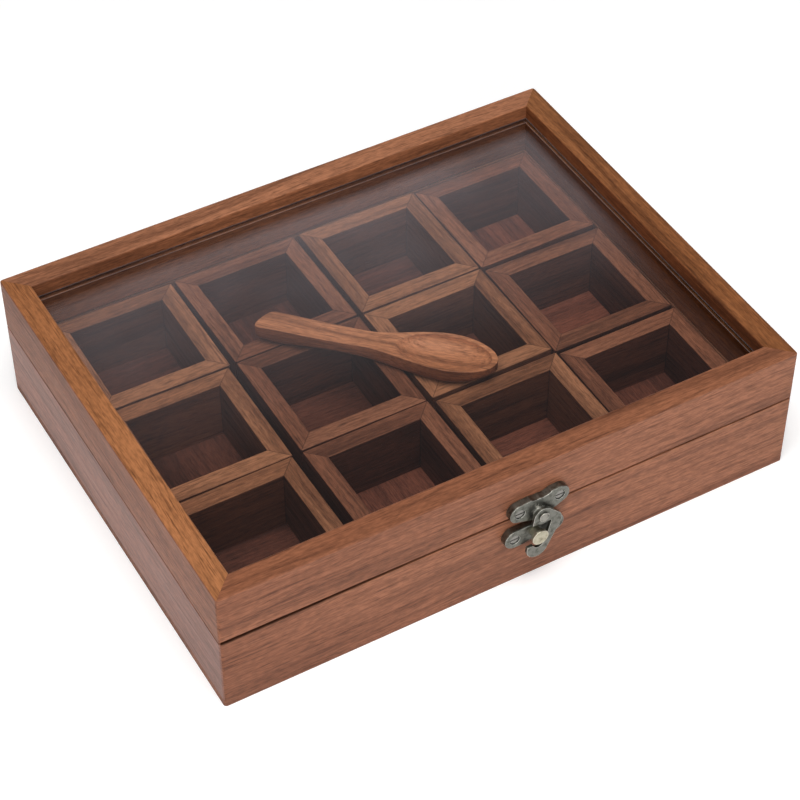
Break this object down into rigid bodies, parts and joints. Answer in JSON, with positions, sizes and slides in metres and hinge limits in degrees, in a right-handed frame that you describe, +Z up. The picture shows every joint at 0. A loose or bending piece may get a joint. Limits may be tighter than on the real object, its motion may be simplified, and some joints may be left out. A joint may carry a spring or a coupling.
{
  "type": "wooden spice box",
  "caption": "Rectangular wooden spice box with a hinged glass-topped lid, a swing-hook latch, loose square cups in rows and a short wooden spoon lying on them.",
  "frame": {"origin": "centre of the underside of the bottom panel", "axes": "+X to the right along the front, +Y to the back where the hinges are, +Z up"},
  "size_m": [0.305, 0.2446, 0.0724],
  "materials": {
    "sheesham_oiled": "oiled, low sheen",
    "panel_wood": "stained, matt",
    "cup_wood": "oiled, matt",
    "cup_floor_wood": "oiled, matt",
    "spoon_wood": "sanded, low sheen",
    "pane_glass": "clear, polished",
    "antique_bronze": "antiqued, rubbed edges",
    "worn_bronze": "antiqued, worn bright",
    "post_brass": "aged brass",
    "hinge_brass": "aged brass"
  },
  "bodies": {
    "base": {"base_front_wall": "sheesham_oiled", "base_back_wall": "sheesham_oiled", "base_left_wall": "sheesham_oiled", "base_right_wall": "sheesham_oiled", "base_bottom_panel": "panel_wood", "keeper_plate": "antique_bronze", "keeper_plate_screws": "worn_bronze", "keeper_post": "post_brass", "hinge_left_base_leaf": "hinge_brass", "hinge_right_base_leaf": "hinge_brass", "hinge_left_pin": "hinge_brass", "hinge_right_pin": "hinge_brass", "hinge_base_screws": "hinge_brass"},
    "lid": {"lid_front_rail": "sheesham_oiled", "lid_back_rail": "sheesham_oiled", "lid_left_rail": "sheesham_oiled", "lid_right_rail": "sheesham_oiled", "lid_glass": "pane_glass", "latch_plate": "antique_bronze", "latch_plate_screws": "worn_bronze", "latch_spacer": "worn_bronze", "latch_rivet": "worn_bronze", "hinge_left_lid_leaf": "hinge_brass", "hinge_right_lid_leaf": "hinge_brass", "hinge_lid_screws": "hinge_brass"},
    "hook": {"latch_hook": "antique_bronze"},
    "cup_front_1": {"cup_front_1_walls": "cup_wood", "cup_front_1_floor": "cup_floor_wood"},
    "cup_front_2": {"cup_front_2_walls": "cup_wood", "cup_front_2_floor": "cup_floor_wood"},
    "cup_front_3": {"cup_front_3_walls": "cup_wood", "cup_front_3_floor": "cup_floor_wood"},
    "cup_front_4": {"cup_front_4_walls": "cup_wood", "cup_front_4_floor": "cup_floor_wood"},
    "cup_middle_1": {"cup_middle_1_walls": "cup_wood", "cup_middle_1_floor": "cup_floor_wood"},
    "cup_middle_2": {"cup_middle_2_walls": "cup_wood", "cup_middle_2_floor": "cup_floor_wood"},
    "cup_middle_3": {"cup_middle_3_walls": "cup_wood", "cup_middle_3_floor": "cup_floor_wood"},
    "cup_middle_4": {"cup_middle_4_walls": "cup_wood", "cup_middle_4_floor": "cup_floor_wood"},
    "cup_back_1": {"cup_back_1_walls": "cup_wood", "cup_back_1_floor": "cup_floor_wood"},
    "cup_back_2": {"cup_back_2_walls": "cup_wood", "cup_back_2_floor": "cup_floor_wood"},
    "cup_back_3": {"cup_back_3_walls": "cup_wood", "cup_back_3_floor": "cup_floor_wood"},
    "cup_back_4": {"cup_back_4_walls": "cup_wood", "cup_back_4_floor": "cup_floor_wood"},
    "spoon": {"spoon": "spoon_wood"}
  },
  "joints": [
    {"name": "lid_hinge", "type": "hinge", "parent": "base", "child": "lid", "pos_m": [0, 0.116, 0.0432], "axis": [-1, 0, 0], "range_deg": [0, 110]},
    {"name": "hook_swing", "type": "hinge", "parent": "lid", "child": "hook", "pos_m": [0.0082, -0.1226, 0.045], "axis": [0, -1, 0], "range_deg": [0, 150]},
    {"name": "cup_front_1_lift", "type": "slide", "parent": "base", "child": "cup_front_1", "axis": [0, 0, 1], "range_m": [0, 0.0175]},
    {"name": "cup_front_2_lift", "type": "slide", "parent": "base", "child": "cup_front_2", "axis": [0, 0, 1], "range_m": [0, 0.0175]},
    {"name": "cup_front_3_lift", "type": "slide", "parent": "base", "child": "cup_front_3", "axis": [0, 0, 1], "range_m": [0, 0.0065]},
    {"name": "cup_front_4_lift", "type": "slide", "parent": "base", "child": "cup_front_4", "axis": [0, 0, 1], "range_m": [0, 0.0175]},
    {"name": "cup_middle_1_lift", "type": "slide", "parent": "base", "child": "cup_middle_1", "axis": [0, 0, 1], "range_m": [0, 0.0175]},
    {"name": "cup_middle_2_lift", "type": "slide", "parent": "base", "child": "cup_middle_2", "axis": [0, 0, 1], "range_m": [0, 0.0065]},
    {"name": "cup_middle_3_lift", "type": "slide", "parent": "base", "child": "cup_middle_3", "axis": [0, 0, 1], "range_m": [0, 0.0065]},
    {"name": "cup_middle_4_lift", "type": "slide", "parent": "base", "child": "cup_middle_4", "axis": [0, 0, 1], "range_m": [0, 0.0175]},
    {"name": "cup_back_1_lift", "type": "slide", "parent": "base", "child": "cup_back_1", "axis": [0, 0, 1], "range_m": [0, 0.0175]},
    {"name": "cup_back_2_lift", "type": "slide", "parent": "base", "child": "cup_back_2", "axis": [0, 0, 1], "range_m": [0, 0.0065]},
    {"name": "cup_back_3_lift", "type": "slide", "parent": "base", "child": "cup_back_3", "axis": [0, 0, 1], "range_m": [0, 0.0175]},
    {"name": "cup_back_4_lift", "type": "slide", "parent": "base", "child": "cup_back_4", "axis": [0, 0, 1], "range_m": [0, 0.0175]},
    {"name": "spoon_lift", "type": "slide", "parent": "cup_middle_3", "child": "spoon", "axis": [0, 0, 1], "range_m": [0, 0.0065]}
  ],
  "couplings": [
    {"joint": "cup_middle_2_lift", "follows": "cup_middle_3_lift", "ratio": 1},
    {"joint": "cup_back_2_lift", "follows": "cup_middle_3_lift", "ratio": 1},
    {"joint": "cup_front_3_lift", "follows": "cup_middle_3_lift", "ratio": 1}
  ]
}
